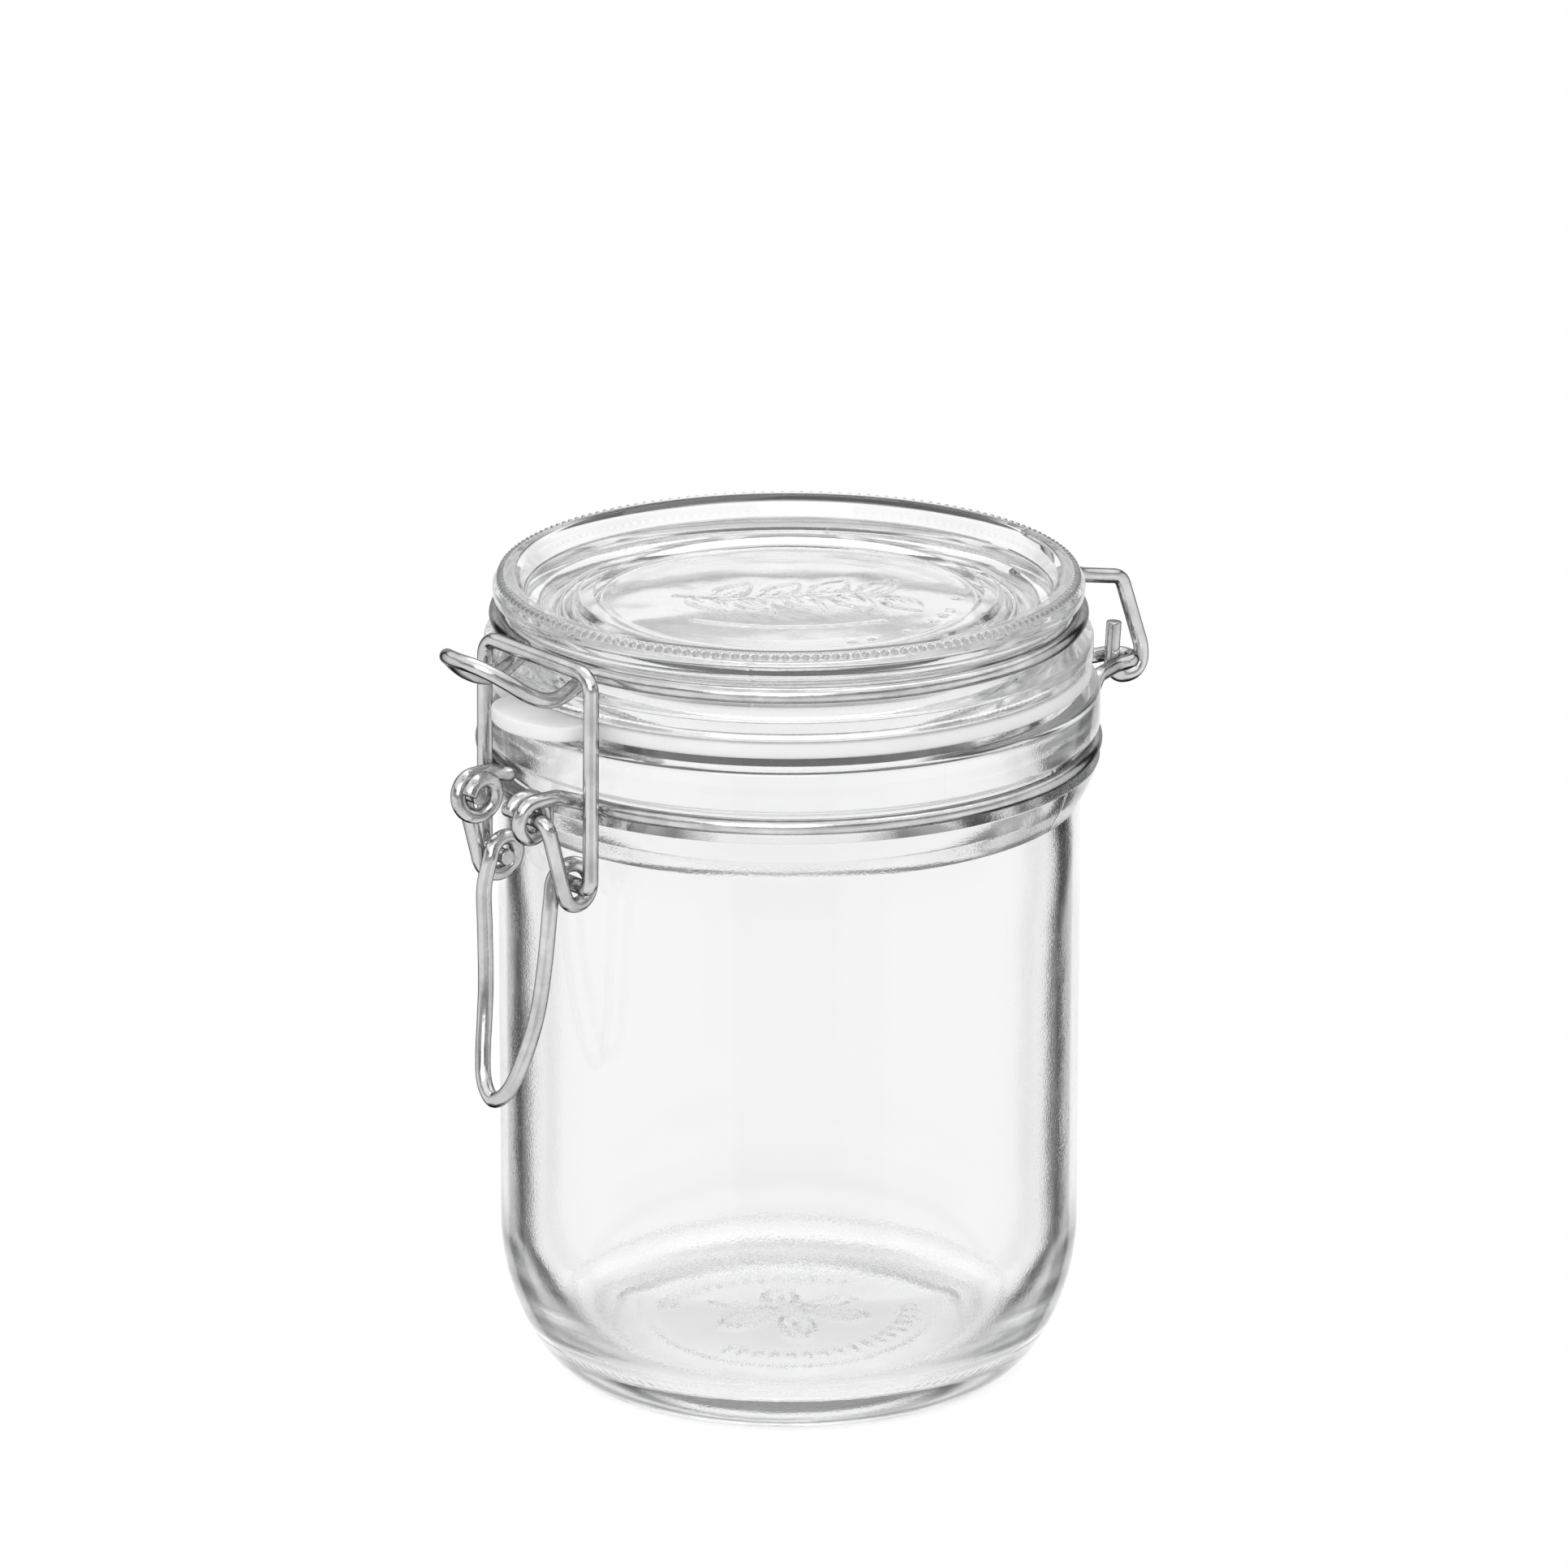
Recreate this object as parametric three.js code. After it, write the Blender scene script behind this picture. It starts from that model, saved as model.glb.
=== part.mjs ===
// Bail clamp jar: a half-litre glass jar with a hinged glass lid, a rubber gasket and a wire clamp.
// Millimetres, +Z up. The origin is on the jar's axis in the plane that the jar stands on.
// The clamp is at the front (-Y), the lid's hinge at the back (+Y).

import * as THREE from 'three';

// Driving dimensions of the glass.
const bodyRadius = 46;
const flangeRadius = 49;
const mouthRadius = 40;
const wall = 3.8;
const standRadius = 34;
const floorHeight = 6.8;
const panelRecess = 0.8;
const heelHeight = 23;
const heelSharpness = 1.76;
const shoulderHeight = 92.4;
const ridgeHeight = 98.5;
const neckGrooveHeight = 103.6;
const flangeTop = 112.6;
const grooveHalf = 1.4;
const lipHeight = 113.9;
const lidBottom = 117;
const lidGrooveHeight = 123.9;
const lidGrooveRadius = 44.3;
const lidRimRadius = 46.5;
const lidFlangeRadius = 47.9;
const lidHeight = 130.4;

// Driving dimensions of the wire clamp.
const wireRadius = 1.25;
const clearance = 0.3;
const neckWireRadius = 48.15;
const lidWireRadius = lidGrooveRadius + clearance + wireRadius;
const eyeRadius = 3.1;
const eyeX = 8.5;
const coilPitch = 2.75;
const pivot = { y: -56, z: 102.5 };
const loopRadius = 3.1;
const loopPivot = { y: -49.8, z: 91.2 };
const legX = 10.8;
const bailX = 13.55;
const crossbar = { y: -49.4, z: 125.6 };
const footX = 7.4;
const hinge = { y: 69.9, z: 103.3 };
const hookRadius = 3.2;
const tongueX = 8;

// Driving dimensions of the gasket.
const gasketInner = 40.8;
const gasketOuter = 47.6;
const tabHalfWidth = 9.8;
const tabReach = 55;

// Fineness of the faceted solids.
const turnSegments = 48;
const wireSides = 8;
const ringStep = THREE.MathUtils.degToRad(7.5);
const bendStep = THREE.MathUtils.degToRad(24);

const at = (x, y, z) => new THREE.Vector3(x, y, z);

// A curve that passes through its points in equal steps of its parameter, so that a wire has
// short steps round its bends and long ones along its straight runs.
class WireLine extends THREE.Curve {
  constructor(points) {
    super();
    this.points = points;
  }

  getUtoTmapping(u) {
    return u;
  }

  getPoint(t, target = new THREE.Vector3()) {
    const last = this.points.length - 1;
    const index = Math.min(Math.floor(t * last), last - 1);
    return target.lerpVectors(this.points[index], this.points[index + 1], t * last - index);
  }
}

// A round wire along a list of points, cut square at both ends.
function wireGeometry(points) {
  const section = new THREE.Shape();
  section.absarc(0, 0, wireRadius, 0, 2 * Math.PI);
  return new THREE.ExtrudeGeometry(section, {
    steps: points.length - 1,
    curveSegments: wireSides / 2,
    extrudePath: new WireLine(points),
  });
}

// Points on an arc round a centre: radial is the first spoke, axis and turn give the sweep.
function arcPoints(centre, radial, axis, turn, step) {
  const count = Math.max(2, Math.ceil(turn / step));
  const points = [];
  for (let i = 0; i <= count; i += 1) {
    points.push(radial.clone().applyAxisAngle(axis, (turn * i) / count).add(centre));
  }
  return points;
}

// The centre line of a bent wire: straight runs, with each inner corner rounded to its bend radius.
// A corner is [point, bend radius], and the two ends have no bend.
function bentLine(corners) {
  const points = [corners[0][0]];
  for (let i = 1; i < corners.length - 1; i += 1) {
    const [corner, bend] = corners[i];
    const back = corners[i - 1][0].clone().sub(corner).normalize();
    const ahead = corners[i + 1][0].clone().sub(corner).normalize();
    const inner = back.angleTo(ahead);
    const start = corner.clone().addScaledVector(back, bend / Math.tan(inner / 2));
    const middle = back.clone().add(ahead).normalize();
    const centre = corner.clone().addScaledVector(middle, bend / Math.sin(inner / 2));
    const axis = ahead.clone().cross(back).normalize();
    points.push(...arcPoints(centre, start.sub(centre), axis, Math.PI - inner, bendStep));
  }
  points.push(corners[corners.length - 1][0]);
  return points;
}

// A coil round an axis along X. Angles run from +Y towards +Z, and x moves from first to last.
function coilPoints(centre, radius, fromAngle, toAngle, fromX, toX) {
  const count = Math.ceil(Math.abs(toAngle - fromAngle) / bendStep);
  const points = [];
  for (let i = 0; i <= count; i += 1) {
    const share = i / count;
    const angle = THREE.MathUtils.lerp(fromAngle, toAngle, share);
    const x = THREE.MathUtils.lerp(fromX, toX, share);
    points.push(at(x, centre.y + radius * Math.cos(angle), centre.z + radius * Math.sin(angle)));
  }
  return points;
}

// A point on a level circle round the jar's axis. The angle runs from the front (-Y) towards +X.
function ringPoint(radius, height, angle) {
  return at(radius * Math.sin(angle), -radius * Math.cos(angle), height);
}

// A level arc round the jar's axis.
function ringPoints(radius, height, fromAngle, toAngle) {
  const count = Math.ceil(Math.abs(toAngle - fromAngle) / ringStep);
  const points = [];
  for (let i = 0; i <= count; i += 1) {
    points.push(ringPoint(radius, height, THREE.MathUtils.lerp(fromAngle, toAngle, i / count)));
  }
  return points;
}

const mirrored = (points) => points.map((point) => at(-point.x, point.y, point.z));

const reversed = (points) => [...points].reverse();

// A solid of revolution about +Z from a profile of [radius, height] pairs.
function turned(profile) {
  const points = profile.map(([radius, height]) => new THREE.Vector2(radius, height));
  return new THREE.LatheGeometry(points, turnSegments).rotateX(Math.PI / 2);
}

// The rounded heel of a wall: a superellipse quarter from the floor out and up to the wall.
function heelProfile(innerRadius, outerRadius, bottom, height, steps) {
  const power = 2 / heelSharpness;
  const profile = [];
  for (let i = 0; i <= steps; i += 1) {
    const angle = (Math.PI / 2) * (i / steps);
    const radius = innerRadius + (outerRadius - innerRadius) * Math.sin(angle) ** power;
    const z = bottom + height * (1 - Math.cos(angle) ** power);
    profile.push([radius, z]);
  }
  return profile;
}

// Glass jar: recessed base panel, rounded heel, straight wall, lower ridge, wire groove, flange, lip.
function jarBodyGeometry() {
  const grooveFloor = neckWireRadius - wireRadius - clearance;
  const innerRadius = bodyRadius - wall;
  const outside = [
    [0, panelRecess],
    [26, panelRecess],
    [29.5, 0],
    ...heelProfile(standRadius, bodyRadius, 0, heelHeight, 8),
    [bodyRadius, shoulderHeight],
    [bodyRadius + 0.3, shoulderHeight + 0.9],
    [flangeRadius - 0.7, ridgeHeight - 1.3],
    [flangeRadius, ridgeHeight],
    [flangeRadius, neckGrooveHeight - grooveHalf - 1],
    [flangeRadius - 0.5, neckGrooveHeight - grooveHalf - 0.4],
    [grooveFloor, neckGrooveHeight - grooveHalf],
    [grooveFloor, neckGrooveHeight + grooveHalf],
    [flangeRadius - 0.5, neckGrooveHeight + grooveHalf + 0.4],
    [flangeRadius, neckGrooveHeight + grooveHalf + 1],
    [flangeRadius, flangeTop - 0.9],
    [flangeRadius - 0.9, flangeTop],
    [mouthRadius + 6, flangeTop],
    [mouthRadius + 5.4, lipHeight - 0.5],
    [mouthRadius + 4.8, lipHeight],
  ];
  const inside = [
    [mouthRadius + 1, lipHeight],
    [mouthRadius, lipHeight - 1],
    [mouthRadius, neckGrooveHeight],
    [mouthRadius + 0.6, shoulderHeight + 7.6],
    [innerRadius, shoulderHeight - 0.4],
    ...heelProfile(standRadius - 2, innerRadius, floorHeight, heelHeight - 5, 6).reverse(),
    [0, floorHeight],
  ];
  return turned([...outside, ...inside]);
}

// Glass lid: plug ring, seal face, flange, wire groove, rim, dished channel and raised centre panel.
function lidGeometry() {
  return turned([
    [0, 121.6],
    [33, 121.3],
    [36.4, 119.4],
    [37.8, 116],
    [38.6, 115.2],
    [40, 115.2],
    [40.3, lidBottom],
    [lidFlangeRadius - 0.5, lidBottom],
    [lidFlangeRadius, lidBottom + 0.5],
    [lidFlangeRadius, lidBottom + 3],
    [lidFlangeRadius - 0.5, lidBottom + 3.7],
    [lidGrooveRadius + 1, lidGrooveHeight - 1.8],
    [lidGrooveRadius, lidGrooveHeight - 1.2],
    [lidGrooveRadius, lidGrooveHeight + 1.5],
    [lidRimRadius - 0.6, lidHeight - 3.6],
    [lidRimRadius, lidHeight - 2.7],
    [lidRimRadius, lidHeight - 1.8],
    [lidRimRadius - 0.6, lidHeight - 0.8],
    [lidRimRadius - 1.9, lidHeight],
    [43.2, lidHeight],
    [42.1, lidHeight - 0.9],
    [41.2, 127.2],
    [39, 126],
    [35.4, 125.5],
    [33.7, 125.9],
    [32.8, 126.9],
    [30.6, 126.9],
    [29.3, 126],
    [0, 126.2],
  ]);
}

// Flat rubber ring with a rounded pull tab at the front.
function gasketGeometry() {
  const rootAngle = Math.asin((tabHalfWidth + 1.2) / gasketOuter);
  const outline = new THREE.Shape();
  const tabFront = -Math.PI / 2;
  outline.absarc(0, 0, gasketOuter, tabFront + rootAngle, tabFront - rootAngle + 2 * Math.PI);
  const tabSides = 48.9;
  outline.quadraticCurveTo(-tabHalfWidth, -gasketOuter + 1, -tabHalfWidth, -tabSides);
  outline.absellipse(0, -tabSides, tabHalfWidth, tabReach - tabSides, Math.PI, 2 * Math.PI);
  outline.quadraticCurveTo(
    tabHalfWidth,
    -gasketOuter + 1,
    gasketOuter * Math.sin(rootAngle),
    -gasketOuter * Math.cos(rootAngle),
  );
  const hole = new THREE.Path();
  hole.absarc(0, 0, gasketInner, 0, 2 * Math.PI, true);
  outline.holes.push(hole);
  const bottom = lipHeight + clearance;
  const geometry = new THREE.ExtrudeGeometry(outline, {
    depth: lidBottom - clearance - bottom,
    bevelEnabled: false,
    curveSegments: 24,
  });
  return geometry.translate(0, 0, bottom);
}

// One front end of the neck wire, from the tip of its eye back to the groove, on the +X side.
function eyePoints() {
  const top = Math.PI / 2;
  const turn = THREE.MathUtils.degToRad(430);
  const innerX = eyeX - (coilPitch * turn) / (2 * Math.PI);
  const coil = coilPoints(pivot, eyeRadius, top + turn, top, innerX, eyeX);
  const lead = bentLine([
    [at(eyeX, pivot.y, pivot.z + eyeRadius), 0],
    [at(eyeX + 0.1, -52.4, pivot.z + eyeRadius), 4],
    [at(9.4, -47.6, neckGrooveHeight + 0.3), 2.6],
    [ringPoint(neckWireRadius, neckGrooveHeight, 0.27), 0],
  ]);
  return [...coil, ...lead.slice(1, -1)];
}

// Half of the back loop of the neck wire, from the groove to the loop's tip, on the +X side.
function backLoopPoints() {
  const tipRadius = 2.95;
  const lead = bentLine([
    [ringPoint(neckWireRadius, neckGrooveHeight, Math.PI - 0.25), 0],
    [at(8.9, 49.4, neckGrooveHeight - 0.6), 2.2],
    [at(7.6, 55.4, 100.4), 1.8],
    [at(6, 58.6, hinge.z + 0.1), 2.4],
    [at(tipRadius, 65.2, hinge.z), 6],
    [at(tipRadius, hinge.y - tipRadius, hinge.z), 0],
  ]);
  const tip = arcPoints(
    at(0, hinge.y - tipRadius, hinge.z),
    at(tipRadius, 0, 0),
    at(0, 0, 1),
    Math.PI / 2,
    bendStep,
  );
  return [...lead.slice(1, -1), ...tip];
}

// Neck wire: eye, round one side of the groove, back loop, round the other side, eye.
function neckBandGeometry() {
  const side = ringPoints(neckWireRadius, neckGrooveHeight, 0.3, Math.PI - 0.3);
  const half = [...eyePoints(), ...side, ...backLoopPoints()];
  return wireGeometry([...half, ...reversed(mirrored(half)).slice(1)]);
}

// J-shaped hook at the back of the lid wire, from the cut stub to the lid's groove.
function hookPoints() {
  const stubY = hinge.y - hookRadius - 0.3;
  const outerY = hinge.y + hookRadius - 0.35;
  return bentLine([
    [at(0, stubY + 0.6, 109.6), 0],
    [at(0, stubY - 0.1, hinge.z - hookRadius), 2.9],
    [at(0, outerY + 0.2, hinge.z - hookRadius), 2.7],
    [at(0, outerY, hinge.z + 1.2), 6],
    [at(0, 68.4, 116.9), 2.6],
    [at(0, 60.2, 118.6), 14],
    [at(0, 46.6, lidGrooveHeight), 3],
    [at(7.2, 45.4, lidGrooveHeight), 0],
  ]);
}

// Half of the front tongue of the lid wire, from the groove out to the middle of its tip, on the +X side.
function tonguePoints() {
  const profile = [
    at(tongueX + 0.1, -46, 123.7),
    at(tongueX, -48.1, 122.6),
    at(tongueX, -50.4, 121.5),
    at(tongueX, -52.6, 121.1),
    at(tongueX, -54.9, 121.6),
    at(tongueX - 0.2, -57.6, 123),
    at(tongueX - 0.9, -59.9, 124.7),
    at(tongueX - 2.3, -62, 126.3),
    at(tongueX - 4.2, -63.9, 127.5),
    at(2, -64.6, 127.8),
    at(0, -64.7, 127.8),
  ];
  const curve = new THREE.CatmullRomCurve3(profile, false, 'centripetal');
  return curve.getSpacedPoints(18);
}

// Lid wire: hook, round the +X side of the groove, tongue, round the -X side to a cut end.
function lidBandGeometry() {
  const leave = 0.21;
  const half = ringPoints(lidWireRadius, lidGrooveHeight, Math.PI - 0.19, leave);
  const otherHalf = ringPoints(lidWireRadius, lidGrooveHeight, leave, Math.PI - 0.1);
  const tongue = tonguePoints();
  return wireGeometry([
    ...hookPoints().slice(0, -1),
    ...half,
    ...tongue,
    ...reversed(mirrored(tongue)).slice(1),
    ...mirrored(otherHalf),
  ]);
}

// Bail: an upside-down U whose feet turn inwards through the lever's loops.
function bailGeometry() {
  const footBend = 1.7;
  const shoulderBend = 3;
  const half = [
    [at(footX, loopPivot.y, loopPivot.z), 0],
    [at(bailX, loopPivot.y, loopPivot.z), footBend],
    [at(bailX, crossbar.y, crossbar.z), shoulderBend],
  ];
  const otherHalf = half.map(([point, bend]) => [at(-point.x, point.y, point.z), bend]).reverse();
  return wireGeometry(bentLine([...half, ...otherHalf]));
}

// Half of the lever: stub, leg, full loop and one side of the handle down to its lowest point.
function leverHalf(stubX) {
  const toLoop = at(0, loopPivot.y - pivot.y, loopPivot.z - pivot.z);
  const reach = toLoop.length();
  const lean = Math.atan2(toLoop.z, toLoop.y) - Math.asin(loopRadius / reach);
  const run = Math.sqrt(reach ** 2 - loopRadius ** 2);
  const touch = at(legX, pivot.y + run * Math.cos(lean), pivot.z + run * Math.sin(lean));
  const leg = bentLine([
    [at(stubX, pivot.y, pivot.z), 0],
    [at(legX, pivot.y, pivot.z), 1.8],
    [touch, 0],
  ]);
  const handleX = legX - coilPitch - 0.05;
  const entry = lean - Math.PI / 2;
  const exit = THREE.MathUtils.degToRad(170);
  const coil = coilPoints(loopPivot, loopRadius, entry, exit, legX, handleX);
  const side = new THREE.CatmullRomCurve3(
    [
      coil[coil.length - 1],
      at(handleX + 0.4, -53.8, 87.2),
      at(7.8, -54.2, 79.9),
      at(6.8, -54.9, 71.4),
      at(5.9, -55.9, 66),
      at(4.5, -57.3, 60.6),
      at(2.7, -58.3, 56.9),
      at(0, -58.7, 55.3),
    ],
    false,
    'centripetal',
  );
  return [...leg, ...coil.slice(1), ...side.getSpacedPoints(16).slice(1)];
}

// Lever: two halves that meet at the bottom of the handle. The two stubs differ in length.
function leverGeometry() {
  const half = leverHalf(0.6);
  const otherHalf = reversed(mirrored(leverHalf(6.2)));
  return wireGeometry([...half, ...otherHalf.slice(1)]);
}

// Clear pressed glass.
function glassMaterial() {
  return new THREE.MeshStandardMaterial({
    color: 0xe9eef0,
    roughness: 0.05,
    metalness: 0,
    transparent: true,
    opacity: 0.35,
  });
}

// Bright drawn steel wire.
function steelMaterial() {
  return new THREE.MeshStandardMaterial({ color: 0xb9bbbd, roughness: 0.28, metalness: 1 });
}

// Milky white rubber.
function rubberMaterial() {
  return new THREE.MeshStandardMaterial({ color: 0xe6e6e4, roughness: 0.55, metalness: 0 });
}

function piece(name, geometry, material) {
  const mesh = new THREE.Mesh(geometry, material);
  mesh.name = name;
  return mesh;
}

const jar = new THREE.Group();
jar.add(
  piece('jar_body', jarBodyGeometry(), glassMaterial()),
  piece('neck_band', neckBandGeometry(), steelMaterial()),
  piece('lid', lidGeometry(), glassMaterial()),
  piece('lid_band', lidBandGeometry(), steelMaterial()),
  piece('gasket', gasketGeometry(), rubberMaterial()),
  piece('lever', leverGeometry(), steelMaterial()),
  piece('bail', bailGeometry(), steelMaterial()),
);

export default jar;
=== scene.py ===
"""Looks of the bail clamp jar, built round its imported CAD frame.

The frame is in metres, +Z up, with the clamp at the front (-Y) and the lid's hinge at the
back (+Y). Outlines are in millimetres, as [radius, height, fillet] corners, and scaled by MM.
"""

import math

import bmesh
import bpy
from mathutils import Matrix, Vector, noise


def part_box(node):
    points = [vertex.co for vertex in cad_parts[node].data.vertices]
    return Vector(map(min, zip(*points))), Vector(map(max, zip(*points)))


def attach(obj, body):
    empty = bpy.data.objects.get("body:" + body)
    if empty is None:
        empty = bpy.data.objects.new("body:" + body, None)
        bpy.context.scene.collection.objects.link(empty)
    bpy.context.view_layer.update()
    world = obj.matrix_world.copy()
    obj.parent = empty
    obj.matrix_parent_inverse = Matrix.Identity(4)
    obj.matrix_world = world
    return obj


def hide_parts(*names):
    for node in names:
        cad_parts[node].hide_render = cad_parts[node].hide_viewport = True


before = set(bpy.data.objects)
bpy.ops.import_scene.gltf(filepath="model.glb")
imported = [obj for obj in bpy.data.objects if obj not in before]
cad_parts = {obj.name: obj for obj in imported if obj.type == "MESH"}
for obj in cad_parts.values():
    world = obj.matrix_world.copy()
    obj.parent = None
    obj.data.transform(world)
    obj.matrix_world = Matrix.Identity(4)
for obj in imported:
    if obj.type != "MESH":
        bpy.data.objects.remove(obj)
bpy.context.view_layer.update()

MM = 0.001
FULL_TURN = 2 * math.pi
VIEW_AZIMUTH = math.radians(51.5)
VIEW_ELEVATION = math.radians(17.61)

# Sizes read from the frame, in millimetres.
jar_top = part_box("jar_body")[1].z / MM
jar_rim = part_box("jar_body")[1].x / MM
lid_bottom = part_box("lid")[0].z / MM
lid_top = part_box("lid")[1].z / MM
lid_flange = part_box("lid")[1].x / MM
gasket_low, gasket_high = (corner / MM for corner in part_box("gasket"))


# ---------------------------------------------------------------- outlines and solids

STRAIGHT = 0.02  # a corner that turns less than this, in radians, isn't rounded
FILLET_SHARE = 0.48  # the most of a neighbouring stretch that a fillet may take
ON_AXIS = 0.01  # a ring with a smaller radius is a single point


def rounded(corners, longest=4.0, turn_step=0.26):
    """Points along a chain of [radius, height, fillet] corners, each rounded to its fillet.
    No stretch is longer than longest, and no step round a corner turns more than turn_step."""
    points = [Vector(corners[0][:2])]
    for before, corner, after in zip(corners, corners[1:], corners[2:]):
        here, fillet = Vector(corner[:2]), corner[2]
        back = (Vector(before[:2]) - here).normalized()
        ahead = (Vector(after[:2]) - here).normalized()
        inner = back.angle(ahead)
        turn = math.pi - inner
        if fillet == 0 or turn < STRAIGHT:
            points.append(here)
            continue
        nearest = min((Vector(before[:2]) - here).length, (Vector(after[:2]) - here).length)
        room = FILLET_SHARE * nearest
        reach = min(fillet / math.tan(inner / 2), room)
        radius = reach * math.tan(inner / 2)
        centre = here + (back + ahead).normalized() * (radius / math.sin(inner / 2))
        spoke = here + back * reach - centre
        side = 1 if back.cross(ahead) < 0 else -1
        steps = max(2, math.ceil(turn / turn_step), math.ceil(turn * radius / longest))
        for i in range(steps + 1):
            angle = side * turn * i / steps
            cos, sin = math.cos(angle), math.sin(angle)
            turned_spoke = (spoke.x * cos - spoke.y * sin, spoke.x * sin + spoke.y * cos)
            points.append(centre + Vector(turned_spoke))
    points.append(Vector(corners[-1][:2]))
    return divided(points, longest)


def divided(points, longest):
    """The same chain with every stretch cut into pieces no longer than longest."""
    fine = [points[0]]
    for start, end in zip(points, points[1:]):
        pieces = max(1, math.ceil((end - start).length / longest))
        fine.extend(start.lerp(end, i / pieces) for i in range(1, pieces + 1))
    return fine


def refined(outline, wanted, step):
    """The outline with finer steps wherever wanted(radius, height) is true."""
    fine = [outline[0]]
    for point in outline[1:]:
        if wanted(*point) or wanted(*fine[-1]):
            fine += divided([fine[-1], point], step)[1:]
        else:
            fine.append(point)
    return fine


def heel(inner_radius, outer_radius, bottom, height, sharpness, steps):
    """Corners of a rounded heel: a superellipse quarter from the floor out and up to the wall."""
    corners = []
    for i in range(steps + 1):
        angle = math.pi / 2 * i / steps
        radius = inner_radius + (outer_radius - inner_radius) * math.sin(angle) ** (2 / sharpness)
        corners.append([radius, bottom + height * (1 - math.cos(angle) ** (2 / sharpness)), 0])
    return corners


def stitch(mesh, ring, other):
    """Faces between two rings, where one may have a whole number of times the other's points.
    A ring of one point is the tip of a fan."""
    if len(ring) > len(other):
        ring, other = other, ring
    if len(ring) == 1:
        for k in range(len(other)):
            mesh.faces.new((ring[0], other[k], other[(k + 1) % len(other)]))
        return
    ratio = len(other) // len(ring)
    for i in range(len(ring)):
        fan = [other[(i * ratio + k) % len(other)] for k in range(ratio, -1, -1)]
        mesh.faces.new([ring[i], ring[(i + 1) % len(ring)], *fan])


def turned(name, outline, count_at, shape):
    """A solid of revolution about +Z. count_at gives the points on a ring at (radius, height),
    and shape moves a point from its plain (radius, height, angle). Angles run from -Y to +X."""
    mesh = bmesh.new()
    rings = []
    for radius, height in outline:
        if radius < ON_AXIS:
            rings.append([mesh.verts.new((0, 0, height * MM))])
            continue
        ring = []
        count = count_at(radius, height)
        for i in range(count):
            r, z, angle = shape(radius, height, FULL_TURN * i / count)
            place = (r * MM * math.sin(angle), -r * MM * math.cos(angle), z * MM)
            ring.append(mesh.verts.new(place))
        rings.append(ring)
    for ring, other in zip(rings, rings[1:]):
        stitch(mesh, ring, other)
    return finished(name, mesh)


def finished(name, mesh):
    """A smooth-shaded object from a closed bmesh."""
    bmesh.ops.recalc_face_normals(mesh, faces=mesh.faces)
    data = bpy.data.meshes.new(name)
    mesh.to_mesh(data)
    mesh.free()
    data.shade_smooth()
    piece = bpy.data.objects.new(name, data)
    bpy.context.scene.collection.objects.link(piece)
    return piece


def hump(distance, half_width):
    """A smooth hump: 1 at distance 0, falling to 0 at half_width."""
    share = min(1.0, abs(distance) / half_width)
    return (1 - share * share) ** 2


def angle_gap(angle, other):
    """The signed angle from other to angle, between minus and plus half a turn."""
    return (angle - other + math.pi) % FULL_TURN - math.pi


# ---------------------------------------------------------------- glass jar

BODY_RADIUS = 46.0
INNER_RADIUS = 41.7
MOUTH_RADIUS = 40.0
STAND_RADIUS = 34.0
FLOOR_HEIGHT = 6.8
HEEL_HEIGHT = 23.0
HEEL_SHARPNESS = 1.76
BASE_PANEL_RADIUS = 26
BASE_PANEL_HEIGHT = 0.8
BASE_RELIEF_RADIUS = 28
BASE_RELIEF = 0.4
PETALS = 6
PETAL_MIDDLE = 8.6
PETAL_SIZE = (4.4, 2.4)
BARS = 48
BAR_SHARES = (0.06, 0.4)
BAR_RADIUS = 20
BORDER_RADIUS = 24.6
KNURLS = 112
KNURL_BAND = (30.2, 34.6)
KNURL_DEPTH = 0.3
STAND_LIMIT = 36
FLOOR_RING_RADIUS = 36.0
FLOOR_RING_STEP = 0.28
FLOOR_RING_RISE = 0.5
WALL_WAVE = 0.12
JAR_SEAM_RISE = 0.07
SEAM_SPREAD = (0.22, 0.3)
JAR_SEAMS = [VIEW_AZIMUTH + math.radians(62), VIEW_AZIMUTH + math.radians(62 + 180)]
FLANGE_SEAMS = [VIEW_AZIMUTH + math.radians(30), VIEW_AZIMUTH + math.radians(30 + 180)]


def jar_outline():
    """The jar's outline from the base panel's middle, up the outside and down the inside."""
    flange_top = jar_top - 1.3
    panel = [[BASE_PANEL_RADIUS * i / 52, BASE_PANEL_HEIGHT, 0] for i in range(52)]
    outside = [
        *panel,
        [26.5, BASE_PANEL_HEIGHT, 1],
        [29.4, 0, 0.8],
        *heel(STAND_RADIUS, BODY_RADIUS, 0, HEEL_HEIGHT, HEEL_SHARPNESS, 16),
        [BODY_RADIUS, 94.4, 0.4],
        [jar_rim - 1.2, 97.8, 5],
        [jar_rim, 101.0, 4],
        [jar_rim, 101.1, 0.7],
        [jar_rim - 2.4, 102.1, 0.9],
        [jar_rim - 2.4, 105.1, 0.9],
        [jar_rim, 106.1, 0.7],
        [jar_rim, flange_top, 1],
        [46.2, flange_top, 0.4],
        [45.3, jar_top, 0.6],
    ]
    inner_heel = heel(
        STAND_RADIUS - 2, INNER_RADIUS, FLOOR_HEIGHT, HEEL_HEIGHT - 5, HEEL_SHARPNESS, 14
    )
    inside = [
        [41, jar_top, 1],
        [MOUTH_RADIUS, jar_top - 2, 1.5],
        [MOUTH_RADIUS, 97, 80],
        [INNER_RADIUS, 84, 80],
        *reversed(inner_heel),
        [0, FLOOR_HEIGHT, 0],
    ]
    return refined(rounded(outside + inside, longest=3.4), on_floor_ring, FLOOR_RING_STEP)


def on_floor_ring(radius, height):
    """True near the low ridge that runs round the floor inside the jar."""
    return abs(radius - FLOOR_RING_RADIUS) < 1 and FLOOR_HEIGHT < height < 12


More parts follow.
